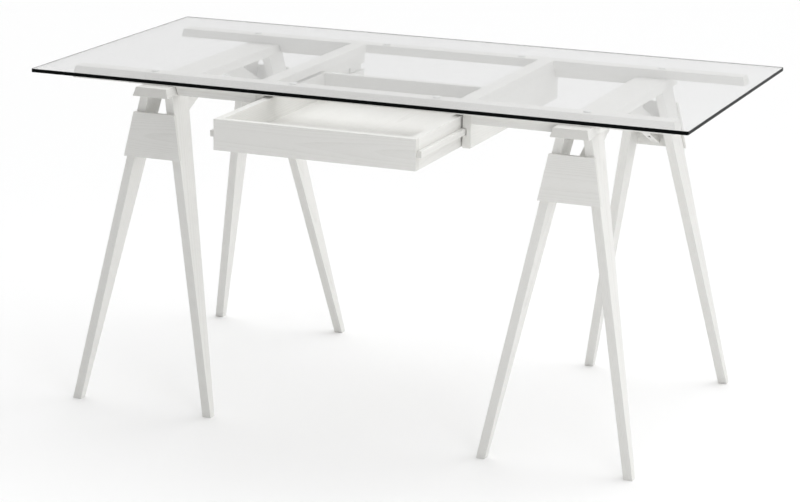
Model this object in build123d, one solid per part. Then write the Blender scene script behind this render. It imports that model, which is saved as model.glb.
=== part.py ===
"""Glass-topped drafting table on two wooden trestles, with one drawer pulled part open.

Units are millimetres.  +X runs along the table to the right, +Y to the back, +Z up.
The pieces are shaped about the middle of the table and then moved along Y as one,
so that the origin lies on the floor under the middle of the whole footprint,
drawn-out drawer included.
"""

import math
import os

from build123d import *

# ---------------------------------------------------------------- driving sizes
# Glass top
GLASS_LENGTH = 1500.0
GLASS_DEPTH = 750.0
GLASS_THICK = 8.0
GLASS_CORNER = 4.0
GLASS_ARRIS = 0.8

# Levels above the floor
BEAM_BOTTOM = 693.0
BOARD = 20.0                      # beam, rail and strip height
PAD_THICK = 3.0
BEAM_TOP = BEAM_BOTTOM + BOARD
RAIL_TOP = BEAM_TOP + BOARD
GLASS_BOTTOM = RAIL_TOP + PAD_THICK

# Trestles
TRESTLE_SPACING = 967.0
TRESTLE_SET_FORWARD = 8.3         # the trestles stand this far ahead of the glass's middle
BEAM_HALF_WIDTH = 43.5            # at the underside
BEAM_HALF_LENGTH = 315.0          # at the underside
BEAM_SLOPE = 6.5                  # run of the sloped sides over the beam's height

# Legs: four-sided, splayed both ways, deeper at the top than at the floor
LEG_THICK = 20.0                  # measured level, across the table
FOOT_OUT_X = 172.5                # trestle centre to the foot's outer face
HEAD_OUT_X = 39.1                 # the same, under the beam
FOOT_OUT_Y = 365.8                # trestle centre to the foot's outer face
LEG_LEAN = 0.1191                 # inward lean of the outer face, per unit of height
FOOT_DEPTH = 19.5
HEAD_DEPTH = 75.5

# Gusset plates
GUSSET_BOTTOM = 555.0
GUSSET_TOP = 654.0
GUSSET_THICK = 9.0
GUSSET_REVEAL = 3.5               # how far the plate stands past the legs' outer faces

# Knee braces
BRACE_THICK = 18.5
BRACE_WIDTH = 34.0
BRACE_ANGLE = 25.0                # from level
BRACE_FOOT_Z = 561.5              # lower corner, on the gusset's inner face
POCKET_RADIUS = 3.25              # counterbore for the brace's screw
POCKET_Z = 587.0
POCKET_SEAT_Y = 266.0             # where the counterbore ends and the screw's head sits
SCREW_HEAD_RADIUS = 3.2
SCREW_HEAD_LENGTH = 3.0
SCREW_SHANK_RADIUS = 1.75
SCREW_GRIP = 5.0                  # length of screw inside the gusset

# Upper frame
RAIL_HALF_LENGTH = 698.0          # at the underside
RAIL_OUT_Y = 285.0                # table centre to the outer face, at the underside
RAIL_IN_Y = 242.5
RAIL_SLOPE = 6.0                  # run of the sloped outer face and ends over the height
CROSS_OUT_X = 250.0
CROSS_WIDTH = 36.5

# Pads between frame and glass
PAD_RADIUS = 9.0
PAD_Y = 261.0
PAD_SPACING = 334.0
PADS_PER_RAIL = 4

# Drawer housing
PANEL_THICK = 19.0
PANEL_BOTTOM = 640.0
PANEL_HALF_DEPTH = 275.5
PANEL_CHAMFER = 2.0
GROOVE_BOTTOM = 668.0
GROOVE_HEIGHT = 15.0
GROOVE_DEPTH = 9.0
STOP_FRONT_Y = 205.0
STOP_LENGTH = 30.0
STOP_THICK = 4.0
STRIP_THICK = 19.0
STRIP_GAP = 1.5                   # between a strip's end and the trestle beam

# Drawer, shown at its drawn-out position
DRAWER_OPEN = 248.5               # how far it stands out of the closed position
DRAWER_HALF_WIDTH = 227.5
DRAWER_BOTTOM = 641.5
DRAWER_TOP = 708.0
DRAWER_LENGTH = 540.0
FRONT_THICK = 16.0
SIDE_THICK = 17.0
BACK_THICK = 16.0
BASE_THICK = 5.0
BASE_UNDERSIDE = 652.0
BASE_GROOVE = 5.0                 # how deep the base is housed in the boards
FIT = 0.15                        # clearance round the base and in the joints
RUNNER_HEIGHT = 14.0
RUNNER_STANDOUT = 10.5
RUNNER_SETBACK = 5.0              # behind the drawer's front face
RUNNER_REAR_GAP = 0.5             # left before the stop when the drawer is closed

# Dowels
DOWEL_RADIUS = 4.0
DOWEL_LENGTH = 30.0
DOWEL_PLAY = 0.05                 # radial clearance in the hole
DOWEL_END_PLAY = 1.0

# Small edge work
EDGE_ROUND = 1.5
FINE_ROUND = 0.8

# ---------------------------------------------------------------- derived places
PANEL_OUT_X = CROSS_OUT_X
PANEL_IN_X = PANEL_OUT_X - PANEL_THICK
CROSS_IN_X = CROSS_OUT_X - CROSS_WIDTH
STRIP_OUT_Y = PANEL_HALF_DEPTH
STRIP_IN_Y = STRIP_OUT_Y - STRIP_THICK
DRAWER_FRONT_Y = -PANEL_HALF_DEPTH - DRAWER_OPEN
DRAWER_REAR_Y = DRAWER_FRONT_Y + DRAWER_LENGTH
SIDE_FRONT_Y = DRAWER_FRONT_Y + FRONT_THICK
SIDE_IN_X = DRAWER_HALF_WIDTH - SIDE_THICK
BACK_FRONT_Y = DRAWER_REAR_Y - BACK_THICK
RUNNER_FRONT_Y = DRAWER_FRONT_Y + RUNNER_SETBACK
RUNNER_REAR_Y = STOP_FRONT_Y - RUNNER_REAR_GAP - DRAWER_OPEN
RUNNER_BOTTOM = GROOVE_BOTTOM + (GROOVE_HEIGHT - RUNNER_HEIGHT) / 2
FOOTPRINT_SHIFT = -(DRAWER_FRONT_Y + GLASS_DEPTH / 2) / 2

SIDES = {"left": -1, "right": 1}
ENDS = {"front": -1, "back": 1}


# ---------------------------------------------------------------- shaping helpers
def span(a, b):
    """Two numbers in rising order."""
    return (min(a, b), max(a, b))


def frustum(z_low, low_x, low_y, z_high, high_x, high_y):
    """Solid between a level rectangle at z_low and another at z_high; all six faces are flat."""
    rings = []
    for z, xs, ys in ((z_low, low_x, low_y), (z_high, high_x, high_y)):
        x0, x1 = span(*xs)
        y0, y1 = span(*ys)
        rings.append([(x0, y0, z), (x1, y0, z), (x1, y1, z), (x0, y1, z)])
    low, high = rings
    outlines = [low, high]
    for k in range(4):
        after = (k + 1) % 4
        outlines.append([low[k], low[after], high[after], high[k]])
    faces = [Face(Wire.make_polygon([Vector(*p) for p in outline])) for outline in outlines]
    return Solid(Shell(faces))


def block(xs, ys, zs):
    """Rectangular board between pairs of X, Y and Z limits."""
    z0, z1 = span(*zs)
    return frustum(z0, xs, ys, z1, xs, ys)


def rod(start, end, radius):
    """Round rod from one point to another."""
    axis = Vector(*end) - Vector(*start)
    plane = Plane(origin=start, z_dir=axis.normalized())
    return extrude(plane * Circle(radius), amount=axis.length)


def dowel(middle, direction):
    """Grooveless dowel centred on a point."""
    half = Vector(*direction).normalized() * (DOWEL_LENGTH / 2)
    return rod(tuple(Vector(*middle) - half), tuple(Vector(*middle) + half), DOWEL_RADIUS)


def dowel_hole(middle, direction):
    """Cutter for a dowel, slightly wider and longer than the dowel."""
    half = Vector(*direction).normalized() * (DOWEL_LENGTH / 2 + DOWEL_END_PLAY)
    return rod(
        tuple(Vector(*middle) - half),
        tuple(Vector(*middle) + half),
        DOWEL_RADIUS + DOWEL_PLAY,
    )


def leg_outer_y(z):
    """Distance from the trestle's middle to the legs' outer faces at a height, along the table's depth."""
    return FOOT_OUT_Y - LEG_LEAN * z


def leg_outer_x(z):
    """Distance from the trestle's centre to the legs' outer faces at a height."""
    return FOOT_OUT_X + (HEAD_OUT_X - FOOT_OUT_X) * z / BEAM_BOTTOM


# ---------------------------------------------------------------- dowel layout
def cross_rail_dowels(side):
    """Middles of the dowels that join one cross rail to the long rails."""
    middle_x = side * (CROSS_OUT_X - CROSS_WIDTH / 2)
    spacing = CROSS_WIDTH / 2
    return [
        (middle_x + step * spacing / 2, end * RAIL_IN_Y, BEAM_TOP + BOARD / 2)
        for end in ENDS.values()
        for step in (-1, 1)
    ]


def panel_dowels(side):
    """Middles of the upright dowels that join a drawer panel to its cross rail."""
    x = side * (PANEL_OUT_X - PANEL_THICK / 2)
    reach = RAIL_IN_Y * 0.75
    return [(x, y, BEAM_TOP) for y in (-reach, 0.0, reach)]


def leg_dowel(side, end, hand):
    """Middle of the upright dowel that joins a leg to its beam."""
    x = side * TRESTLE_SPACING / 2 + hand * (HEAD_OUT_X - LEG_THICK / 2)
    y = end * (leg_outer_y(BEAM_BOTTOM) - HEAD_DEPTH / 2)
    return (x, y, BEAM_BOTTOM)


def strip_dowels(side, end):
    """Middles of the upright dowels that join a lower strip to its long rail."""
    x_panel = PANEL_OUT_X
    x_beam = TRESTLE_SPACING / 2 - BEAM_HALF_WIDTH
    y = end * (STRIP_OUT_Y - STRIP_THICK / 2)
    step = (x_beam - x_panel) / 4
    return [(side * (x_panel + k * step), y, BEAM_TOP) for k in (1, 3)]


UP = (0, 0, 1)
BACKWARD = (0, 1, 0)
LEG_DOWEL_SINK = DOWEL_LENGTH / 6       # set low, since the beam is thinner than the leg


def shifted_down(point, amount):
    """A point moved straight down."""
    return (point[0], point[1], point[2] - amount)


# ---------------------------------------------------------------- glass and pads
def make_glass():
    glass = Pos(0, 0, GLASS_BOTTOM) * extrude(
        RectangleRounded(GLASS_LENGTH, GLASS_DEPTH, GLASS_CORNER), amount=GLASS_THICK
    )
    rims = glass.edges().group_by(Axis.Z)
    return chamfer(rims[0] + rims[-1], GLASS_ARRIS)


def make_pads():
    half_row = PAD_SPACING * (PADS_PER_RAIL - 1) / 2
    pads = []
    for end in ENDS.values():
        for k in range(PADS_PER_RAIL):
            base = Pos(-half_row + k * PAD_SPACING, end * PAD_Y, RAIL_TOP)
            pads.append(base * extrude(Circle(PAD_RADIUS), amount=PAD_THICK))
    return Compound(pads)


# ---------------------------------------------------------------- upper frame
def make_long_rail(end):
    top_length = RAIL_HALF_LENGTH - RAIL_SLOPE
    rail = frustum(
        BEAM_TOP,
        (-RAIL_HALF_LENGTH, RAIL_HALF_LENGTH),
        (end * RAIL_IN_Y, end * RAIL_OUT_Y),
        RAIL_TOP,
        (-top_length, top_length),
        (end * RAIL_IN_Y, end * (RAIL_OUT_Y - RAIL_SLOPE)),
    )
    rail = fillet(rail.edges(), EDGE_ROUND)
    for side in SIDES.values():
        for middle in cross_rail_dowels(side):
            if middle[1] * end > 0:
                rail -= dowel_hole(middle, BACKWARD)
        for middle in strip_dowels(side, end):
            rail -= dowel_hole(shifted_down(middle, LEG_DOWEL_SINK), UP)
    return rail


def make_cross_rail(side):
    rail = block(
        (side * CROSS_IN_X, side * CROSS_OUT_X), (-RAIL_IN_Y, RAIL_IN_Y), (BEAM_TOP, RAIL_TOP)
    )
    rail = fillet(rail.edges().filter_by(Axis.Y), FINE_ROUND)
    for middle in cross_rail_dowels(side):
        rail -= dowel_hole(middle, BACKWARD)
    for middle in panel_dowels(side):
        rail -= dowel_hole(shifted_down(middle, LEG_DOWEL_SINK), UP)
    return rail


def make_strip(side, end):
    beam_x = TRESTLE_SPACING / 2 - BEAM_HALF_WIDTH - STRIP_GAP
    ys = (end * STRIP_IN_Y, end * STRIP_OUT_Y)
    strip = frustum(
        BEAM_BOTTOM,
        (side * PANEL_OUT_X, side * beam_x),
        ys,
        BEAM_TOP,
        (side * PANEL_OUT_X, side * (beam_x + BEAM_SLOPE)),
        ys,
    )
    strip = fillet(strip.edges().filter_by(Axis.X), FINE_ROUND)
    for middle in strip_dowels(side, end):
        strip -= dowel_hole(shifted_down(middle, LEG_DOWEL_SINK), UP)
    return strip


# ---------------------------------------------------------------- drawer housing
def make_panel(side):
    panel = block(
        (side * PANEL_IN_X, side * PANEL_OUT_X),
        (-PANEL_HALF_DEPTH, PANEL_HALF_DEPTH),
        (PANEL_BOTTOM, BEAM_TOP),
    )
    panel = chamfer(panel.edges().group_by(Axis.Z)[0], PANEL_CHAMFER)
    panel -= block(
        (side * (PANEL_IN_X - 1), side * (PANEL_IN_X + GROOVE_DEPTH)),
        (-PANEL_HALF_DEPTH - 1, PANEL_HALF_DEPTH + 1),
        (GROOVE_BOTTOM, GROOVE_BOTTOM + GROOVE_HEIGHT),
    )
    for middle in panel_dowels(side):
        panel -= dowel_hole(shifted_down(middle, LEG_DOWEL_SINK), UP)
    return panel


def make_stop(side):
    floor_x = PANEL_IN_X + GROOVE_DEPTH
    return block(
        (side * (floor_x - STOP_THICK), side * floor_x),
        (STOP_FRONT_Y, STOP_FRONT_Y + STOP_LENGTH),
        (GROOVE_BOTTOM, GROOVE_BOTTOM + GROOVE_HEIGHT),
    )


# ---------------------------------------------------------------- trestles
def make_beam(side):
    centre = side * TRESTLE_SPACING / 2
    width = BEAM_HALF_WIDTH
    length = BEAM_HALF_LENGTH
    beam = frustum(
        BEAM_BOTTOM,
        (centre - width, centre + width),
        (-length, length),
        BEAM_TOP,
        (centre - width + BEAM_SLOPE, centre + width - BEAM_SLOPE),
        (-length + BEAM_SLOPE, length - BEAM_SLOPE),
    )
    beam = fillet(beam.edges(), EDGE_ROUND)
    for end in ENDS.values():
        for hand in (-1, 1):
            beam -= dowel_hole(shifted_down(leg_dowel(side, end, hand), LEG_DOWEL_SINK), UP)
    return beam


def make_leg(side, end, hand):
    centre = side * TRESTLE_SPACING / 2
    levels = []
    for z, out_x, depth in ((0.0, FOOT_OUT_X, FOOT_DEPTH), (BEAM_BOTTOM, HEAD_OUT_X, HEAD_DEPTH)):
        xs = (centre + hand * (out_x - LEG_THICK), centre + hand * out_x)
        ys = (end * (leg_outer_y(z) - depth), end * leg_outer_y(z))
        levels.extend((z, xs, ys))
    leg = frustum(*levels)
    leg = fillet(leg.edges() - leg.edges().group_by(Axis.Z)[-1], EDGE_ROUND)
    leg -= dowel_hole(shifted_down(leg_dowel(side, end, hand), LEG_DOWEL_SINK), UP)
    return leg


def make_gusset(side, end):
    centre = side * TRESTLE_SPACING / 2
    levels = []
    for z in (GUSSET_BOTTOM, GUSSET_TOP):
        half = leg_outer_x(z) + GUSSET_REVEAL
        inner = leg_outer_y(z)
        levels.extend((z, (centre - half, centre + half), (end * inner, end * (inner + GUSSET_THICK))))
    gusset = fillet(frustum(*levels).edges(), FINE_ROUND)
    return gusset - brace_screw_hole(side, end)


def brace_screw_hole(side, end):
    """Cutter for the shank of the screw that holds a brace to its gusset."""
    centre = side * TRESTLE_SPACING / 2
    tip = leg_outer_y(POCKET_Z) + SCREW_GRIP + FINE_ROUND
    return rod(
        (centre, end * POCKET_SEAT_Y, POCKET_Z),
        (centre, end * tip, POCKET_Z),
        SCREW_SHANK_RADIUS + DOWEL_PLAY,
    )


def make_brace(side, end):
    centre = side * TRESTLE_SPACING / 2
    rise = math.tan(math.radians(BRACE_ANGLE))
    height = BRACE_WIDTH / math.cos(math.radians(BRACE_ANGLE))
    foot_y = leg_outer_y(BRACE_FOOT_Z)

    # where the upper edge's line meets the gusset's leaning inner face
    upper_z = (BRACE_FOOT_Z + height + rise * (foot_y - FOOT_OUT_Y)) / (1 - rise * LEG_LEAN)
    head_z = BEAM_BOTTOM
    lower_head_y = foot_y - (head_z - BRACE_FOOT_Z) / rise
    upper_head_y = foot_y - (head_z - BRACE_FOOT_Z - height) / rise
    corners = [
        (foot_y, BRACE_FOOT_Z),
        (lower_head_y, head_z),
        (upper_head_y, head_z),
        (leg_outer_y(upper_z), upper_z),
    ]
    outline = Polyline(*[(0, end * y, z) for y, z in corners], close=True)
    brace = extrude(make_face(outline), amount=BRACE_THICK / 2, dir=(1, 0, 0), both=True)
    brace = Pos(centre, 0, 0) * brace
    pocket = rod(
        (centre, end * lower_head_y, POCKET_Z), (centre, end * POCKET_SEAT_Y, POCKET_Z), POCKET_RADIUS
    )
    return brace - pocket - brace_screw_hole(side, end)


def make_brace_screw(side, end):
    centre = side * TRESTLE_SPACING / 2
    head_y = POCKET_SEAT_Y - SCREW_HEAD_LENGTH
    head = rod(
        (centre, end * head_y, POCKET_Z), (centre, end * POCKET_SEAT_Y, POCKET_Z), SCREW_HEAD_RADIUS
    )
    tip = leg_outer_y(POCKET_Z) + SCREW_GRIP
    shank = rod(
        (centre, end * POCKET_SEAT_Y, POCKET_Z), (centre, end * tip, POCKET_Z), SCREW_SHANK_RADIUS
    )
    return head + shank


# ---------------------------------------------------------------- drawer
def base_cutter():
    """Housing for the drawer's base, cut into the four boards round it."""
    return block(
        (-SIDE_IN_X - BASE_GROOVE, SIDE_IN_X + BASE_GROOVE),
        (SIDE_FRONT_Y - BASE_GROOVE, BACK_FRONT_Y + BASE_GROOVE),
        (BASE_UNDERSIDE, BASE_UNDERSIDE + BASE_THICK),
    )


def make_drawer_front():
    board = block(
        (-DRAWER_HALF_WIDTH, DRAWER_HALF_WIDTH),
        (DRAWER_FRONT_Y, SIDE_FRONT_Y),
        (DRAWER_BOTTOM, DRAWER_TOP),
    )
    return fillet(board.edges(), FINE_ROUND) - base_cutter()


def make_drawer_side(side):
    board = block(
        (side * SIDE_IN_X, side * DRAWER_HALF_WIDTH),
        (SIDE_FRONT_Y, DRAWER_REAR_Y),
        (DRAWER_BOTTOM, DRAWER_TOP),
    )
    return fillet(board.edges().filter_by(Axis.Y), FINE_ROUND) - base_cutter()


def make_drawer_back():
    board = block((-SIDE_IN_X, SIDE_IN_X), (BACK_FRONT_Y, DRAWER_REAR_Y), (DRAWER_BOTTOM, DRAWER_TOP))
    return fillet(board.edges().filter_by(Axis.X), FINE_ROUND) - base_cutter()


def make_drawer_base():
    grip = BASE_GROOVE - FIT
    return block(
        (-SIDE_IN_X - grip, SIDE_IN_X + grip),
        (SIDE_FRONT_Y - grip, BACK_FRONT_Y + grip),
        (BASE_UNDERSIDE, BASE_UNDERSIDE + BASE_THICK - FIT),
    )


def make_runner(side):
    runner = block(
        (side * DRAWER_HALF_WIDTH, side * (DRAWER_HALF_WIDTH + RUNNER_STANDOUT)),
        (RUNNER_FRONT_Y, RUNNER_REAR_Y),
        (RUNNER_BOTTOM, RUNNER_BOTTOM + RUNNER_HEIGHT),
    )
    outer = runner.edges().filter_by(Axis.Y).sort_by(Axis.X)
    outer = outer[-2:] if side > 0 else outer[:2]
    return fillet(outer, EDGE_ROUND)


# ---------------------------------------------------------------- the whole table
def make_parts():
    forward = Pos(0, -TRESTLE_SET_FORWARD, 0)
    parts = {"glass_top": make_glass(), "glass_pads": make_pads()}
    for end_name, end in ENDS.items():
        parts[f"{end_name}_rail"] = make_long_rail(end)

    cross_dowels = []
    upright_dowels = []
    leg_dowels = []
    strip_pins = []
    screws = []
    for side_name, side in SIDES.items():
        parts[f"{side_name}_cross_rail"] = make_cross_rail(side)
        parts[f"{side_name}_drawer_panel"] = make_panel(side)
        parts[f"{side_name}_drawer_stop"] = make_stop(side)
        parts[f"{side_name}_trestle_beam"] = forward * make_beam(side)
        cross_dowels += [dowel(m, BACKWARD) for m in cross_rail_dowels(side)]
        upright_dowels += [dowel(shifted_down(m, LEG_DOWEL_SINK), UP) for m in panel_dowels(side)]
        for end_name, end in ENDS.items():
            prefix = f"{side_name}_trestle_{end_name}"
            parts[f"{end_name}_{side_name}_strip"] = make_strip(side, end)
            parts[f"{prefix}_gusset"] = forward * make_gusset(side, end)
            parts[f"{prefix}_brace"] = forward * make_brace(side, end)
            screws.append(forward * make_brace_screw(side, end))
            strip_pins += [
                dowel(shifted_down(m, LEG_DOWEL_SINK), UP) for m in strip_dowels(side, end)
            ]
            for hand_name, hand in SIDES.items():
                parts[f"{prefix}_{hand_name}_leg"] = forward * make_leg(side, end, hand)
                middle = shifted_down(leg_dowel(side, end, hand), LEG_DOWEL_SINK)
                leg_dowels.append(forward * dowel(middle, UP))

    parts["cross_rail_dowels"] = Compound(cross_dowels)
    parts["panel_dowels"] = Compound(upright_dowels)
    parts["strip_dowels"] = Compound(strip_pins)
    parts["leg_dowels"] = Compound(leg_dowels)
    parts["brace_screws"] = Compound(screws)

    parts["drawer_front"] = make_drawer_front()
    parts["drawer_back"] = make_drawer_back()
    parts["drawer_base"] = make_drawer_base()
    for side_name, side in SIDES.items():
        parts[f"drawer_{side_name}_side"] = make_drawer_side(side)
        parts[f"drawer_{side_name}_runner"] = make_runner(side)
    return parts


def placed(shape):
    """The piece moved to the table's own frame, solid by solid."""
    move = Pos(0, FOOTPRINT_SHIFT, 0)
    solids = [move * solid for solid in shape.solids()]
    return solids[0] if len(solids) == 1 else Compound(solids)


os.makedirs("parts", exist_ok=True)
for node, shape in make_parts().items():
    export_step(placed(shape), f"parts/{node}.step")
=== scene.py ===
"""Drafting table with a clear glass top on white-stained ash trestles, and a drawer drawn part open.

Metres, +X along the table to the right, +Y to the back, +Z up, origin on the floor.
"""

import math

import bpy
import numpy as np
from mathutils import Matrix, Vector


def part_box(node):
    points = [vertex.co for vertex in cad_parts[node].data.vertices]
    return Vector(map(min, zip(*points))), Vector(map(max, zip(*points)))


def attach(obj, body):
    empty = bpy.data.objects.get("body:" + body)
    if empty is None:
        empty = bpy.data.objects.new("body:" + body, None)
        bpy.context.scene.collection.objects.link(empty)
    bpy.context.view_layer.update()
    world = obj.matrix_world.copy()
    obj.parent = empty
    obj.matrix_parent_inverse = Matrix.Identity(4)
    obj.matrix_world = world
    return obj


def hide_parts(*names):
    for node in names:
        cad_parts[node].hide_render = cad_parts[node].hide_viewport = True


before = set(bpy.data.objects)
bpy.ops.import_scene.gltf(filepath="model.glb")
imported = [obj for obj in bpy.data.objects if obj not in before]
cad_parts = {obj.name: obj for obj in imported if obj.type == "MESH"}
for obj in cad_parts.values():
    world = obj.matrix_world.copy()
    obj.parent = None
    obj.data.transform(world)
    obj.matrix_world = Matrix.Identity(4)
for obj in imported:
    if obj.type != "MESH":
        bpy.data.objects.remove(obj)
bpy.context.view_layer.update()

X, Y, Z = 0, 1, 2

# Finish of the pieces
BOARD_EDGE = 0.0013         # rounding of the sanded edges
FINE_EDGE = 0.0007          # rounding of the thin boards' edges
GLASS_ARRIS = 0.0005        # narrow bevel ground along the glass's edges
GLASS_CORNER = 0.004        # radius of the glass's corners, seen from above
EDGE_STEPS = 2              # facets of a rounding, up to its middle
SKIN = 0.003                # depth within which a node's end is measured

# Glass pads
PAD_GAP = 0.05              # more than this between two points means two pads
PAD_AIR = 0.0001            # thin film of air left under the glass
PAD_SOFT = 0.35             # upper rounding, as a share of the pad's thickness
PAD_FOOT = 0.4              # lower rounding, as a share of the upper one

# Drawer panels
GROOVE_LOW = 0.668          # heights of the runner groove
GROOVE_HIGH = 0.683
GROOVE_FLOOR = 0.240        # distance of the groove's floor from the table's middle
PANEL_CHAMFER = 0.002       # rounding of the panels' lower edges


# ---------------------------------------------------------------- reading the model
def node_points(node):
    """All of a node's points as an array of rows (x, y, z)."""
    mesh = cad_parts[node].data
    points = np.zeros(len(mesh.vertices) * 3)
    mesh.vertices.foreach_get("co", points)
    return points.reshape(-1, 3)


def node_corners(node, axis=Z):
    """The eight corners of a four-sided board, as [x side, y side, z side] to a point.

    The board is cut straight across at both ends of one axis.  Near each end the lowest
    and highest coordinates give a rectangle, and the two rectangles' corners are the board's.
    """
    points = node_points(node)
    low, high = points.min(0), points.max(0)
    corners = np.zeros((2, 2, 2, 3))
    for side, level in enumerate((low[axis], high[axis])):
        near = points[np.abs(points[:, axis] - level) < SKIN]
        ends = np.stack([near.min(0), near.max(0)])
        ends[:, axis] = level
        grid = np.stack(np.meshgrid(ends[:, 0], ends[:, 1], ends[:, 2], indexing="ij"), -1)
        chosen = [slice(None)] * 3
        chosen[axis] = side
        corners[tuple(chosen)] = grid[tuple(chosen)]
    return corners


# ---------------------------------------------------------------- meshes
def new_mesh(name, points, faces, normals=None):
    """A mesh object from arrays; normals, one per point, replace the faces' own."""
    mesh = bpy.data.meshes.new(name)
    mesh.from_pydata(points.tolist(), [], faces)
    mesh.validate()
    if normals is not None:
        mesh.shade_smooth()
        mesh.normals_split_custom_set_from_vertices(normals.tolist())
    piece = bpy.data.objects.new(name, mesh)
    bpy.context.scene.collection.objects.link(piece)
    return piece


def mark_grain(piece, along_across_through, end_grain):
    """Stores where each point lies in the board it was cut from, and how square it faces the grain."""
    mesh = piece.data
    place = mesh.attributes.new("grain", "FLOAT_VECTOR", "POINT")
    place.data.foreach_set("vector", np.asarray(along_across_through, np.float32).ravel())
    ends = mesh.attributes.new("end_grain", "FLOAT", "POINT")
    ends.data.foreach_set("value", np.asarray(end_grain, np.float32).ravel())


def plank_number(node):
    """A fixed number for a node, so that each board is cut from its own place in the log."""
    return sum((k + 3) * ord(letter) for k, letter in enumerate(node)) % 997


def grain_place(local, grain_axis, half, node):
    """Local coordinates reordered as along, across and through the board, then moved within the log.

    Across is the wider of the two other directions.  The move is a whole number of
    decimetres along the log and some centimetres sideways, set by the node's name.
    """
    others = [axis for axis in (X, Y, Z) if axis != grain_axis]
    others.sort(key=lambda axis: -half[axis])
    order = [grain_axis, *others]
    number = plank_number(node)
    shift = np.array([0.1 * number, 0.012 * ((number % 7) - 3), 0.004 * (number % 5)])
    return local[:, order] + shift


def edge_lines(half, radius):
    """Grid lines across a face of half-width half: a rounding's facets at each side.

    A line at distance radius * tan(angle) from where the rounding starts turns, once
    pushed out on to the round, into a facet line at that angle.
    """
    facets = radius * np.tan(np.linspace(0, math.pi / 4, EDGE_STEPS + 1))
    start = half - radius
    return np.concatenate([-start - facets[::-1], start + facets])


def rounded_block(half, radius):
    """Grid over the surface of a block centred on the origin, with rounded edges.

    Each point p of a grid on the six faces is split into q, p clamped to a smaller block,
    and the rest d; the rounded point is q + radius * d / |d|, and d / |d| is its normal.
    """
    lines = [edge_lines(h, radius) for h in half]
    counts = [len(line) for line in lines]

    def code(i, j, k):
        return (i * counts[1] + j) * counts[2] + k

    quads = []
    for axis in (X, Y, Z):
        a, b = [other for other in (X, Y, Z) if other != axis]
        grid_a, grid_b = np.meshgrid(np.arange(counts[a]), np.arange(counts[b]), indexing="ij")
        for side in (0, counts[axis] - 1):
            index = [None, None, None]
            index[a], index[b] = grid_a, grid_b
            index[axis] = np.full_like(grid_a, side)
            codes = code(*index)
            quad = np.stack(
                [codes[:-1, :-1], codes[1:, :-1], codes[1:, 1:], codes[:-1, 1:]], -1
            ).reshape(-1, 4)
            faces_up = (side > 0) == (axis != Y)
            quads.append(quad if faces_up else quad[:, ::-1])
    codes, faces = np.unique(np.concatenate(quads), return_inverse=True)
    faces = faces.reshape(-1, 4)
    i, rest = np.divmod(codes, counts[1] * counts[2])
    j, k = np.divmod(rest, counts[2])
    p = np.stack([lines[0][i], lines[1][j], lines[2][k]], -1)
    inner = np.asarray(half) - radius
    q = np.clip(p, -inner, inner)
    normals = (p - q) / np.linalg.norm(p - q, axis=1, keepdims=True)
    return q + radius * normals, normals, faces


def warp_to_corners(local, normals, half, corners):
    """Carries a block's points to the board with the given eight corners.

    With u, v, w running from 0 to 1 across the block, each point is the corners' average
    weighted by u or 1-u, v or 1-v and w or 1-w.  Normals follow the cross products of the
    map's slopes along u, v and w.
    """
    t = (local / half + 1) / 2
    weights = np.stack([1 - t, t], 1)
    slopes = np.broadcast_to(np.array([-1.0, 1.0])[None, :], weights[:, :, 0].shape)

    def blend(wx, wy, wz):
        return np.einsum("na,nb,nc,abcd->nd", wx, wy, wz, corners)

    wx, wy, wz = weights[:, :, 0], weights[:, :, 1], weights[:, :, 2]
    points = blend(wx, wy, wz)
    along_x = blend(slopes, wy, wz) / half[0]
    along_y = blend(wx, slopes, wz) / half[1]
    along_z = blend(wx, wy, slopes) / half[2]
    turned = (
        normals[:, :1] * np.cross(along_y, along_z)
        + normals[:, 1:2] * np.cross(along_z, along_x)
        + normals[:, 2:] * np.cross(along_x, along_y)
    )
    return points, turned / np.linalg.norm(turned, axis=1, keepdims=True)


def half_sizes(corners):
    """Half of a board's mean length along each of its three directions."""
    return np.array(
        [
            np.linalg.norm((corners[1] - corners[0]).mean((0, 1))),
            np.linalg.norm((corners[:, 1] - corners[:, 0]).mean((0, 1))),
            np.linalg.norm((corners[:, :, 1] - corners[:, :, 0]).mean((0, 1))),
        ]
    ) / 2


def finish_piece(piece, node, body):
    """Hands a new piece to the body it rides on and the node it stands for."""
    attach(piece, body)
    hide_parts(node)
    return piece


def board(node, body, grain_axis, wood, radius=BOARD_EDGE, axis=Z):
    """A sanded board in the place of a node, its corners read from the node."""
    corners = node_corners(node, axis)
    half = half_sizes(corners)
    local, local_normals, faces = rounded_block(half, radius)
    points, normals = warp_to_corners(local, local_normals, half, corners)
    piece = new_mesh(node + "_board", points, faces.tolist(), normals)
    mark_grain(
        piece, grain_place(local, grain_axis, half, node), np.abs(local_normals[:, grain_axis])
    )
    piece.data.materials.append(wood)
    return finish_piece(piece, node, body)


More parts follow.
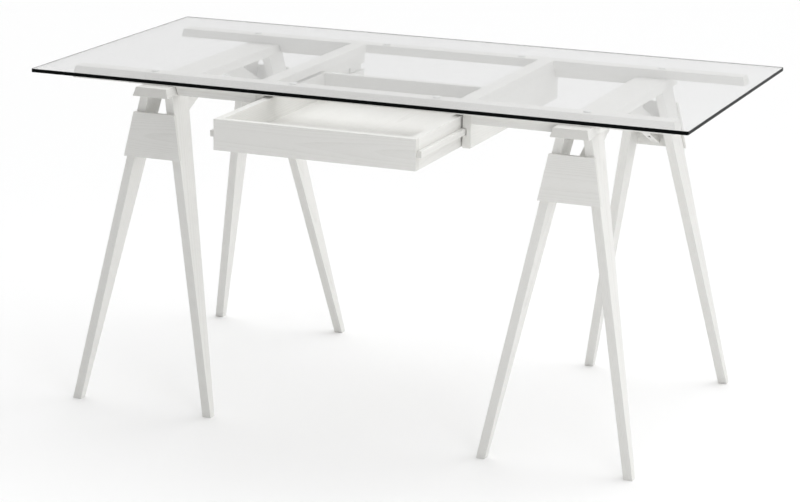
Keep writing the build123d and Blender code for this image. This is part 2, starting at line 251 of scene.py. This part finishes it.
def rounded_outline(corners, radii, steps=3):
    """A closed outline with its corners rounded, and its outward normals.

    Each corner gives an arc that touches both sides: the arc's centre lies on the corner's
    bisector, and its points turn evenly from one side's normal to the next side's.
    The corners run anticlockwise; a corner that turns clockwise is rounded inwards.
    """
    corners = np.asarray(corners, float)
    before = corners - np.roll(corners, 1, 0)
    after = np.roll(corners, -1, 0) - corners
    before /= np.linalg.norm(before, axis=1, keepdims=True)
    after /= np.linalg.norm(after, axis=1, keepdims=True)
    turn = np.arctan2(
        before[:, 0] * after[:, 1] - before[:, 1] * after[:, 0], (before * after).sum(1)
    )
    start = np.arctan2(-before[:, 0], before[:, 1])
    setback = np.asarray(radii) * np.tan(np.abs(turn) / 2)
    inward = np.stack([-before[:, 1], before[:, 0]], -1) * np.sign(turn)[:, None]
    centre = corners - before * setback[:, None] + inward * np.asarray(radii)[:, None]
    angle = start[:, None] + turn[:, None] * np.linspace(0, 1, steps + 1)[None, :]
    normals = np.stack([np.cos(angle), np.sin(angle)], -1)
    reach = (np.sign(turn) * np.asarray(radii))[:, None, None]
    points = centre[:, None, :] + reach * normals
    return points.reshape(-1, 2), normals.reshape(-1, 2)


def ring_faces(rings, count):
    """Quads between successive rings of count points, then a cap on the first and last ring."""
    ring, step = np.meshgrid(np.arange(rings - 1), np.arange(count), indexing="ij")
    onward = (step + 1) % count
    quads = np.stack(
        [ring * count + step, ring * count + onward, (ring + 1) * count + onward, (ring + 1) * count + step],
        -1,
    ).reshape(-1, 4)
    first = np.arange(count)[::-1]
    last = (rings - 1) * count + np.arange(count)
    return quads.tolist() + [first.tolist(), last.tolist()]


def moulding(outline, normals, start, end, radius):
    """An outline in X and Z carried along Y from start to end, with rounded ends.

    Towards each end the rings draw in by radius * (1 - cos(angle)) along the outline's
    normals while they advance by radius * sin(angle).
    """
    angle = np.linspace(0, math.pi / 2, EDGE_STEPS + 2)
    inset = radius * (1 - np.cos(angle))
    advance = radius * np.sin(angle)
    insets = np.concatenate([inset[::-1], inset])
    levels = np.concatenate([start + radius - advance[::-1], end - radius + advance])
    lean = np.concatenate([-np.sin(angle[::-1]), np.sin(angle)])
    flat = outline[None] - insets[:, None, None] * normals[None]
    points = np.stack(
        [flat[..., 0], np.broadcast_to(levels[:, None], flat.shape[:2]), flat[..., 1]], -1
    )
    upright = np.sqrt(1 - lean**2)[:, None, None]
    turned = np.stack(
        [
            np.broadcast_to(normals[None, :, 0], flat.shape[:2]),
            np.zeros(flat.shape[:2]),
            np.broadcast_to(normals[None, :, 1], flat.shape[:2]),
        ],
        -1,
    ) * upright
    turned[..., 1] += lean[:, None]
    faces = ring_faces(len(levels), len(outline))
    return points.reshape(-1, 3), turned.reshape(-1, 3), faces


# ---------------------------------------------------------------- finishes
def add(tree, kind, values=(), **settings):
    """A node with its settings and its unlinked input values."""
    node = tree.nodes.new(kind)
    for name, value in settings.items():
        setattr(node, name, value)
    for name, value in dict(values).items():
        node.inputs[name].default_value = value
    return node


def arithmetic(tree, operation, first, second=None, third=None):
    """The result of one sum on sockets or numbers."""
    node = tree.nodes.new("ShaderNodeMath")
    node.operation = operation
    for slot, value in enumerate((first, second, third)):
        if value is None:
            continue
        if isinstance(value, (int, float)):
            node.inputs[slot].default_value = value
        else:
            tree.links.new(value, node.inputs[slot])
    return node.outputs[0]


def group_with(name, inputs, outputs):
    """An empty shader group with named inputs (name, type, default) and outputs (name, type)."""
    group = bpy.data.node_groups.new(name, "ShaderNodeTree")
    for label, kind, default in inputs:
        socket = group.interface.new_socket(label, in_out="INPUT", socket_type=kind)
        if default is not None:
            socket.default_value = default
    for label, kind in outputs:
        group.interface.new_socket(label, in_out="OUTPUT", socket_type=kind)
    entry = group.nodes.new("NodeGroupInput")
    result = group.nodes.new("NodeGroupOutput")
    return group, entry, result


def ash_grain_group():
    """Growth rings and open pores of ash.

    The log's heart runs along the board, tilted a little and below it; a point's distance
    from the heart, bent by slow noise, divided by the ring spacing, gives a saw-tooth that
    is sharpened into narrow early-wood bands.  Pores are noise drawn out along the grain,
    thickest in the bands.
    """
    group, entry, result = group_with(
        "ash grain",
        [
            ("Place", "NodeSocketVector", None),
            ("Ring Spacing", "NodeSocketFloat", 0.005),
            ("Heart Depth", "NodeSocketFloat", 0.045),
            ("Waviness", "NodeSocketFloat", 0.006),
        ],
        [("Rings", "NodeSocketFloat"), ("Pores", "NodeSocketFloat"), ("Cloud", "NodeSocketFloat")],
    )
    link = group.links.new
    split = add(group, "ShaderNodeSeparateXYZ")
    link(entry.outputs["Place"], split.inputs[0])
    along, across, through = split.outputs

    def stretched_noise(scale_along, scale_across, detail, offset=0.0):
        mapping = add(group, "ShaderNodeMapping", {"Location": (offset, offset, offset)})
        mapping.inputs["Scale"].default_value = (scale_along, scale_across, scale_across)
        link(entry.outputs["Place"], mapping.inputs["Vector"])
        noise = add(
            group, "ShaderNodeTexNoise", {"Scale": 1.0, "Detail": detail, "Roughness": 0.55}
        )
        link(mapping.outputs[0], noise.inputs["Vector"])
        return noise.outputs["Fac"]

    bend = arithmetic(group, "SUBTRACT", stretched_noise(2.2, 14.0, 2.0), 0.5)
    bend = arithmetic(group, "MULTIPLY", bend, entry.outputs["Waviness"])
    tilt = arithmetic(group, "SINE", arithmetic(group, "MULTIPLY", along, 1.7))
    depth = arithmetic(group, "MULTIPLY_ADD", tilt, 0.012, entry.outputs["Heart Depth"])
    below = arithmetic(group, "ADD", through, depth)
    squares = arithmetic(
        group,
        "ADD",
        arithmetic(group, "MULTIPLY", across, across),
        arithmetic(group, "MULTIPLY", below, below),
    )
    radius = arithmetic(group, "ADD", arithmetic(group, "SQRT", squares), bend)
    turns = arithmetic(group, "DIVIDE", radius, entry.outputs["Ring Spacing"])
    saw = arithmetic(group, "FRACT", turns)
    rise = arithmetic(group, "POWER", saw, 2.5)
    fall = add(group, "ShaderNodeMapRange", {"From Min": 0.93, "From Max": 1.0, "To Min": 1.0, "To Max": 0.0})
    link(saw, fall.inputs["Value"])
    rings = arithmetic(group, "MULTIPLY", rise, fall.outputs[0])
    strength = add(group, "ShaderNodeMapRange", {"From Min": 0.35, "From Max": 0.65, "To Min": 0.35})
    link(stretched_noise(1.3, 60.0, 1.0, 7.0), strength.inputs["Value"])
    rings = arithmetic(group, "MULTIPLY", rings, strength.outputs[0])
    link(rings, result.inputs["Rings"])

    streaks = add(group, "ShaderNodeMapRange", {"From Min": 0.52, "From Max": 0.70})
    link(stretched_noise(55.0, 1500.0, 3.0, 3.0), streaks.inputs["Value"])
    crowd = arithmetic(group, "MULTIPLY_ADD", rings, 0.75, 0.25)
    link(arithmetic(group, "MULTIPLY", streaks.outputs[0], crowd), result.inputs["Pores"])
    link(stretched_noise(1.5, 9.0, 2.0, 11.0), result.inputs["Cloud"])
    return group


def white_stain_group():
    """Colour, roughness and height of white-stained ash from its rings, pores and end grain."""
    group, entry, result = group_with(
        "white stain",
        [
            ("Rings", "NodeSocketFloat", 0.0),
            ("Pores", "NodeSocketFloat", 0.0),
            ("Cloud", "NodeSocketFloat", 0.5),
            ("End Grain", "NodeSocketFloat", 0.0),
            ("Stain", "NodeSocketColor", (0.8, 0.8, 0.8, 1)),
            ("Ring Colour", "NodeSocketColor", (0.6, 0.6, 0.6, 1)),
            ("Ring Strength", "NodeSocketFloat", 0.3),
            ("Roughness", "NodeSocketFloat", 0.45),
        ],
        [("Colour", "NodeSocketColor"), ("Roughness", "NodeSocketFloat"), ("Height", "NodeSocketFloat")],
    )
    link = group.links.new
    ring_share = arithmetic(group, "MULTIPLY", entry.outputs["Rings"], entry.outputs["Ring Strength"])
    share = arithmetic(group, "MULTIPLY_ADD", entry.outputs["Pores"], 0.35, ring_share)
    cloud = arithmetic(group, "MULTIPLY_ADD", entry.outputs["Cloud"], 0.16, -0.06)
    share = arithmetic(group, "ADD", share, cloud)
    share = arithmetic(group, "MULTIPLY_ADD", entry.outputs["End Grain"], 0.22, share)
    clamp = add(group, "ShaderNodeClamp")
    link(share, clamp.inputs["Value"])
    mix = add(group, "ShaderNodeMix", data_type="RGBA")
    link(clamp.outputs[0], mix.inputs["Factor"])
    link(entry.outputs["Stain"], mix.inputs["A"])
    link(entry.outputs["Ring Colour"], mix.inputs["B"])
    link(mix.outputs["Result"], result.inputs["Colour"])
    rough = arithmetic(group, "MULTIPLY_ADD", entry.outputs["Pores"], 0.2, entry.outputs["Roughness"])
    rough = arithmetic(group, "MULTIPLY_ADD", entry.outputs["End Grain"], 0.12, rough)
    link(rough, result.inputs["Roughness"])
    sunk = arithmetic(group, "MULTIPLY_ADD", entry.outputs["Pores"], -1.0, 1.0)
    height = arithmetic(group, "MULTIPLY_ADD", entry.outputs["Rings"], -0.35, sunk)
    link(height, result.inputs["Height"])
    return group


GRAIN = ash_grain_group()
STAIN = white_stain_group()


def plain_material(name, **values):
    """A material with one Principled shader and its set values."""
    material = bpy.data.materials.new(name)
    material.use_nodes = True
    shader = material.node_tree.nodes["Principled BSDF"]
    for label, value in values.items():
        shader.inputs[label.replace("_", " ").title().replace("Ior", "IOR")].default_value = value
    return material, material.node_tree, shader


def stained_ash(name, place, end_grain=None, spacing=0.0026, stain=(0.800, 0.797, 0.774), strength=0.16):
    """White-stained ash; place makes the socket that says where a point lies in its board."""
    material, tree, shader = plain_material(name)
    grain = add(tree, "ShaderNodeGroup", node_tree=GRAIN)
    grain.inputs["Ring Spacing"].default_value = spacing
    stained = add(tree, "ShaderNodeGroup", node_tree=STAIN)
    stained.inputs["Stain"].default_value = (*stain, 1)
    stained.inputs["Ring Colour"].default_value = (0.50, 0.49, 0.45, 1)
    stained.inputs["Ring Strength"].default_value = strength
    stained.inputs["Roughness"].default_value = 0.42
    tree.links.new(place(tree), grain.inputs["Place"])
    for label in ("Rings", "Pores", "Cloud"):
        tree.links.new(grain.outputs[label], stained.inputs[label])
    if end_grain is not None:
        tree.links.new(end_grain(tree), stained.inputs["End Grain"])
    tree.links.new(stained.outputs["Colour"], shader.inputs["Base Color"])
    tree.links.new(stained.outputs["Roughness"], shader.inputs["Roughness"])
    bump = add(tree, "ShaderNodeBump", {"Strength": 0.25, "Distance": 0.0004})
    tree.links.new(stained.outputs["Height"], bump.inputs["Height"])
    tree.links.new(bump.outputs["Normal"], shader.inputs["Normal"])
    return material


def board_place(tree):
    """The place of a point in its board, from the piece's own attribute."""
    return add(tree, "ShaderNodeAttribute", attribute_name="grain").outputs["Vector"]


def board_end_grain(tree):
    """How square a point faces the grain, from the piece's own attribute."""
    return add(tree, "ShaderNodeAttribute", attribute_name="end_grain").outputs["Fac"]


def turned_place(slope):
    """Object coordinates turned about X, so that the first runs along a brace of that slope."""

    def place(tree):
        coordinates = add(tree, "ShaderNodeTexCoord")
        mapping = add(tree, "ShaderNodeMapping", {"Rotation": (-slope, 0.0, 0.0)})
        tree.links.new(coordinates.outputs["Object"], mapping.inputs["Vector"])
        split = add(tree, "ShaderNodeSeparateXYZ")
        tree.links.new(mapping.outputs[0], split.inputs[0])
        joined = add(tree, "ShaderNodeCombineXYZ")
        for source, target in ((1, 0), (2, 1), (0, 2)):
            tree.links.new(split.outputs[source], joined.inputs[target])
        return joined.outputs[0]

    return place


def clear_glass():
    """Clear tempered glass, very slightly grey-green, with faint polishing smears in its gloss."""
    material, tree, shader = plain_material(
        "clear tempered glass",
        base_color=(0.965, 0.967, 0.966, 1),
        transmission_weight=1.0,
        ior=1.5,
    )
    coordinates = add(tree, "ShaderNodeTexCoord")
    smears = add(tree, "ShaderNodeTexNoise", {"Scale": 6.0, "Detail": 3.0})
    spread = add(tree, "ShaderNodeMapRange", {"To Min": 0.0, "To Max": 0.012})
    tree.links.new(coordinates.outputs["Object"], smears.inputs["Vector"])
    tree.links.new(smears.outputs["Fac"], spread.inputs["Value"])
    tree.links.new(spread.outputs[0], shader.inputs["Roughness"])
    return material


def glass_rim():
    """The glass's polished edge, painted almost black as painted shade: the dark look of an edge that no
    light comes out of.
    """
    material, tree, shader = plain_material(
        "glass edge painted dark",
        # painted shade: this near-black base colour stands for the edge's darkness, which comes from how
        # light runs through the glass
        base_color=(0.003, 0.004, 0.004, 1),
        ior=1.5,
        specular_ior_level=0.02,
    )
    coordinates = add(tree, "ShaderNodeTexCoord")
    ripple = add(tree, "ShaderNodeTexNoise", {"Scale": 160.0, "Detail": 2.0})
    spread = add(tree, "ShaderNodeMapRange", {"To Min": 0.05, "To Max": 0.16})
    tree.links.new(coordinates.outputs["Object"], ripple.inputs["Vector"])
    tree.links.new(ripple.outputs["Fac"], spread.inputs["Value"])
    tree.links.new(spread.outputs[0], shader.inputs["Roughness"])
    return material


def milky_pad():
    """Soft milky plastic with a fine matt skin."""
    material, tree, shader = plain_material(
        "milky soft plastic", base_color=(0.92, 0.925, 0.92, 1), roughness=0.3, transmission_weight=0.15
    )
    coordinates = add(tree, "ShaderNodeTexCoord")
    grainy = add(tree, "ShaderNodeTexNoise", {"Scale": 900.0, "Detail": 2.0})
    bump = add(tree, "ShaderNodeBump", {"Strength": 0.1, "Distance": 0.0002})
    tree.links.new(coordinates.outputs["Object"], grainy.inputs["Vector"])
    tree.links.new(grainy.outputs["Fac"], bump.inputs["Height"])
    tree.links.new(bump.outputs["Normal"], shader.inputs["Normal"])
    return material


def plain_beech():
    """Unfinished beech dowel: warm, with short darker flecks along the grain."""
    material, tree, shader = plain_material("plain beech", roughness=0.6)
    coordinates = add(tree, "ShaderNodeTexCoord")
    flecks = add(tree, "ShaderNodeTexNoise", {"Scale": 700.0, "Detail": 2.0})
    ramp = add(tree, "ShaderNodeValToRGB")
    ramp.color_ramp.elements[0].color = (0.42, 0.27, 0.15, 1)
    ramp.color_ramp.elements[1].color = (0.62, 0.45, 0.28, 1)
    tree.links.new(coordinates.outputs["Object"], flecks.inputs["Vector"])
    tree.links.new(flecks.outputs["Fac"], ramp.inputs["Fac"])
    tree.links.new(ramp.outputs["Color"], shader.inputs["Base Color"])
    return material


def black_steel():
    """Black-plated steel with fine turning marks."""
    material, tree, shader = plain_material(
        "black plated steel", base_color=(0.10, 0.10, 0.11, 1), metallic=1.0
    )
    coordinates = add(tree, "ShaderNodeTexCoord")
    marks = add(tree, "ShaderNodeTexNoise", {"Scale": 1500.0, "Detail": 3.0})
    spread = add(tree, "ShaderNodeMapRange", {"To Min": 0.22, "To Max": 0.42})
    tree.links.new(coordinates.outputs["Object"], marks.inputs["Vector"])
    tree.links.new(marks.outputs["Fac"], spread.inputs["Value"])
    tree.links.new(spread.outputs[0], shader.inputs["Roughness"])
    return material


# ---------------------------------------------------------------- the pieces
BRACE_SLOPE = math.radians(25)

board_ash = stained_ash("stained ash board", board_place, board_end_grain)
brace_ash = {
    "front": stained_ash("stained ash front brace", turned_place(-BRACE_SLOPE)),
    "back": stained_ash("stained ash back brace", turned_place(BRACE_SLOPE)),
}
clear = clear_glass()
rim = glass_rim()
pad_plastic = milky_pad()
beech = plain_beech()
dark_steel = black_steel()

SIDES = ("left", "right")
ENDS = ("front", "back")


def glass_top():
    """A sheet with rounded corners and a narrow bevel round its top and bottom.

    Rings of one rounded outline: drawn in by the bevel at the underside, full size above
    it, full size again below the upper bevel, and drawn in at the upper side.  The two
    flats and the upper bevel are clear, and the rest of the edge is painted near-black as shade.
    """
    low, high = (np.array(corner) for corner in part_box("glass_top"))
    corners = [(low[0], low[1]), (high[0], low[1]), (high[0], high[1]), (low[0], high[1])]
    outline, normals = rounded_outline(corners, [GLASS_CORNER] * 4, 8)
    insets = np.array([GLASS_ARRIS, 0.0, 0.0, GLASS_ARRIS])
    levels = np.array([low[2], low[2] + GLASS_ARRIS, high[2] - GLASS_ARRIS, high[2]])
    flat = outline[None] - insets[:, None, None] * normals[None]
    points = np.concatenate(
        [flat, np.broadcast_to(levels[:, None, None], (*flat.shape[:2], 1))], -1
    ).reshape(-1, 3)
    faces = ring_faces(len(levels), len(outline))
    piece = new_mesh("glass_sheet", points, faces)
    piece.data.materials.append(clear)
    piece.data.materials.append(rim)
    # faces with index 1 take the edge's near-black painted shade, faces with index 0 the clear glass
    finish = np.ones(len(faces), np.int32)
    upper_bevel_and_flats = slice(-2 - len(outline), None)
    finish[upper_bevel_and_flats] = 0
    piece.data.polygons.foreach_set("material_index", finish)
    piece.visible_shadow = False
    piece.visible_diffuse = False
    return finish_piece(piece, "glass_top", "desk")


def turned_profile(name, profile, centres, steps=32):
    """Copies of a profile of (radius, height) turned about upright axes through the centres.

    A point of the profile at angle a lies at centre + (radius cos a, radius sin a, height);
    the first and last radii are not zero, and a flat cap closes each end.
    """
    angle = np.linspace(0, 2 * math.pi, steps, endpoint=False)
    profile = np.asarray(profile)
    ring = np.stack([np.cos(angle), np.sin(angle)], -1)
    flat = profile[:, 0, None, None] * ring[None]
    tall = np.broadcast_to(profile[:, 1, None, None], (len(profile), steps, 1))
    one = np.concatenate([flat, tall], -1).reshape(-1, 3)
    points = (np.asarray(centres)[:, None, :] + one[None]).reshape(-1, 3)
    faces = []
    for k in range(len(centres)):
        faces += [[index + k * len(one) for index in face] for face in ring_faces(len(profile), steps)]
    return new_mesh(name, points, faces)


def glass_pads():
    """Low round pads with softened rims, set in two rows on the long rails.

    Gaps between the node's sorted x coordinates separate one pad from the next; the
    profile is a small foot round, a straight side, and a larger quarter round at the top.
    """
    points = node_points("glass_pads")
    low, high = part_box("glass_pads")
    thick = high[2] - low[2] - PAD_AIR
    centres = []
    for back in (False, True):
        row = points[(points[:, 1] > (low[1] + high[1]) / 2) == back]
        across = np.sort(row[:, 0])
        step = np.diff(across) > PAD_GAP
        starts = across[np.concatenate([[True], step])]
        stops = across[np.concatenate([step, [True]])]
        middle = (row[:, 1].min() + row[:, 1].max()) / 2
        centres += [(x, middle, low[2]) for x in (starts + stops) / 2]
    radius = (stops[0] - starts[0]) / 2
    angle = np.linspace(0, math.pi / 2, 5)
    soft = thick * PAD_SOFT
    upper = np.stack(
        [radius - soft + soft * np.cos(angle), thick - soft + soft * np.sin(angle)], -1
    )
    lower = np.array([[radius - soft * PAD_FOOT, 0.0], [radius, soft * PAD_FOOT]])
    piece = turned_profile("glass_pad_discs", np.concatenate([lower, upper]), centres)
    piece.data.materials.append(pad_plastic)
    return finish_piece(piece, "glass_pads", "desk")


def drawer_panel(side, hand):
    """The housing's side board: a section with a groove along its inner face, carried along Y."""
    node = f"{side}_drawer_panel"
    low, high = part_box(node)
    inner, outer = (low[0], high[0]) if hand > 0 else (high[0], low[0])
    section = [
        (inner, low[2]),
        (outer, low[2]),
        (outer, high[2]),
        (inner, high[2]),
        (inner, GROOVE_HIGH),
        (hand * GROOVE_FLOOR, GROOVE_HIGH),
        (hand * GROOVE_FLOOR, GROOVE_LOW),
        (inner, GROOVE_LOW),
    ]
    radii = [PANEL_CHAMFER] * 2 + [FINE_EDGE] * (len(section) - 2)
    if hand < 0:
        section = section[::-1]
        radii = radii[::-1]
    outline, normals = rounded_outline(section, radii)
    points, turned, faces = moulding(outline, normals, low[1], high[1], FINE_EDGE)
    faces = [face[::-1] for face in faces]
    piece = new_mesh(node + "_board", points, faces, turned)
    middle = np.array([(inner + outer) / 2, 0.0, (low[2] + high[2]) / 2])
    half = np.array([abs(outer - inner), high[1] - low[1], high[2] - low[2]]) / 2
    mark_grain(piece, grain_place(points - middle, Y, half, node), np.abs(turned[:, 1]))
    piece.data.materials.append(board_ash)
    return finish_piece(piece, node, "desk")


glass_top()
glass_pads()
for side, hand in (("left", -1), ("right", 1)):
    drawer_panel(side, hand)
    board(f"{side}_cross_rail", "desk", Y, board_ash, FINE_EDGE)
    board(f"{side}_drawer_stop", "desk", Y, board_ash, FINE_EDGE)
    board(f"{side}_trestle_beam", "desk", Y, board_ash)
    board(f"drawer_{side}_side", "drawer", Y, board_ash, FINE_EDGE)
    board(f"drawer_{side}_runner", "drawer", Y, board_ash, BOARD_EDGE)
    for end in ENDS:
        board(f"{end}_{side}_strip", "desk", X, board_ash, FINE_EDGE)
        board(f"{side}_trestle_{end}_gusset", "desk", X, board_ash, FINE_EDGE)
        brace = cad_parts[f"{side}_trestle_{end}_brace"]
        brace.data.materials.clear()
        brace.data.materials.append(brace_ash[end])
        for leg in SIDES:
            board(f"{side}_trestle_{end}_{leg}_leg", "desk", Z, board_ash)
for end in ENDS:
    board(f"{end}_rail", "desk", X, board_ash)
    board(f"drawer_{end}", "drawer", X, board_ash, FINE_EDGE)
board("drawer_base", "drawer", Y, board_ash, FINE_EDGE / 2)
for node in ("cross_rail_dowels", "panel_dowels", "leg_dowels", "strip_dowels"):
    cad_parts[node].data.materials.clear()
    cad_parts[node].data.materials.append(beech)
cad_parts["brace_screws"].data.materials.clear()
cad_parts["brace_screws"].data.materials.append(dark_steel)


# ---------------------------------------------------------------- studio
LOW_LIGHT = 0.10
BACK_LIGHT = 0.6
BOX_LIGHT = 1.12
BACK_AIM = (0.0, 1.0, 0.0)
BOX_AIM = (0.2, 0.25, 0.94)


def studio_floor():
    """A plain pale floor: a wide flat disc of rings about the origin."""
    steps = 96
    radius = np.array([0.02, 2.0, 5.0, 12.0, 30.0])
    angle = np.linspace(0, 2 * math.pi, steps, endpoint=False)
    circle = np.stack([np.cos(angle), np.sin(angle), np.zeros(steps)], -1)
    points = (radius[:, None, None] * circle[None]).reshape(-1, 3)
    faces = ring_faces(len(radius), steps)[:-1]
    floor = new_mesh("studio_floor", points, [face[::-1] for face in faces])
    material, _, _ = plain_material(
        "pale floor", base_color=(0.93, 0.93, 0.93, 1), roughness=0.9, specular_ior_level=0.2
    )
    floor.data.materials.append(material)


def facing(lamp, place, target):
    """Puts a lamp at a place and turns it to face a point."""
    lamp.location = place
    lamp.rotation_euler = (Vector(target) - Vector(place)).to_track_quat("-Z", "Y").to_euler()
    bpy.context.scene.collection.objects.link(lamp)


def soft_panel(name, place, target, size, power):
    """A large square light panel that faces a point."""
    light = bpy.data.lights.new(name, "AREA")
    light.shape = "SQUARE"
    light.size = size
    light.energy = power
    lamp = bpy.data.objects.new(name, light)
    lamp.visible_camera = False
    facing(lamp, place, target)


def studio_world():
    """White light from all round: a broad soft box overhead, behind and to the right, and a pale back.

    With d the direction looked in, the strength is a low level, plus a share that grows
    with d's part towards the back, plus a share that grows with d's part towards the box.
    """
    world = bpy.data.worlds.new("studio")
    world.use_nodes = True
    tree = world.node_tree
    direction = add(tree, "ShaderNodeTexCoord").outputs["Generated"]

    def towards(aim, start, full, amount):
        dot = add(tree, "ShaderNodeVectorMath", operation="DOT_PRODUCT")
        dot.inputs[1].default_value = Vector(aim).normalized()
        tree.links.new(direction, dot.inputs[0])
        ramp = add(
            tree,
            "ShaderNodeMapRange",
            {"From Min": start, "From Max": full, "To Max": amount},
            interpolation_type="SMOOTHSTEP",
        )
        tree.links.new(dot.outputs["Value"], ramp.inputs["Value"])
        return ramp.outputs["Result"]

    back = towards(BACK_AIM, 0.0, 0.5, BACK_LIGHT)
    box = towards(BOX_AIM, 0.3, 0.75, BOX_LIGHT)
    total = arithmetic(tree, "ADD", arithmetic(tree, "ADD", back, box), LOW_LIGHT)
    sky = tree.nodes["Background"]
    sky.inputs["Color"].default_value = (1, 1, 1, 1)
    tree.links.new(total, sky.inputs["Strength"])
    bpy.context.scene.world = world


def studio_camera():
    """The camera: turned to the left, pitched down and rolled a little, with its lens raised."""
    camera = bpy.data.cameras.new("camera")
    camera.sensor_width = 36.0
    camera.lens = 117.64
    camera.shift_x = 0.0076
    camera.shift_y = -0.2179
    camera.clip_end = 100.0
    viewer = bpy.data.objects.new("camera", camera)
    turn = Matrix.Rotation(math.radians(22.646), 4, "Z")
    pitch = Matrix.Rotation(math.radians(90 - 11.131), 4, "X")
    roll = Matrix.Rotation(math.radians(0.648), 4, "Z")
    viewer.matrix_world = Matrix.Translation((2.1617, -5.2048, 1.8460)) @ turn @ pitch @ roll
    bpy.context.scene.collection.objects.link(viewer)
    bpy.context.scene.camera = viewer


studio_floor()
studio_world()
soft_panel("right key", (2.2, -2.6, 1.2), (0.3, 0.0, 0.5), 1.2, 22)
studio_camera()
bpy.context.scene.view_settings.view_transform = "Standard"
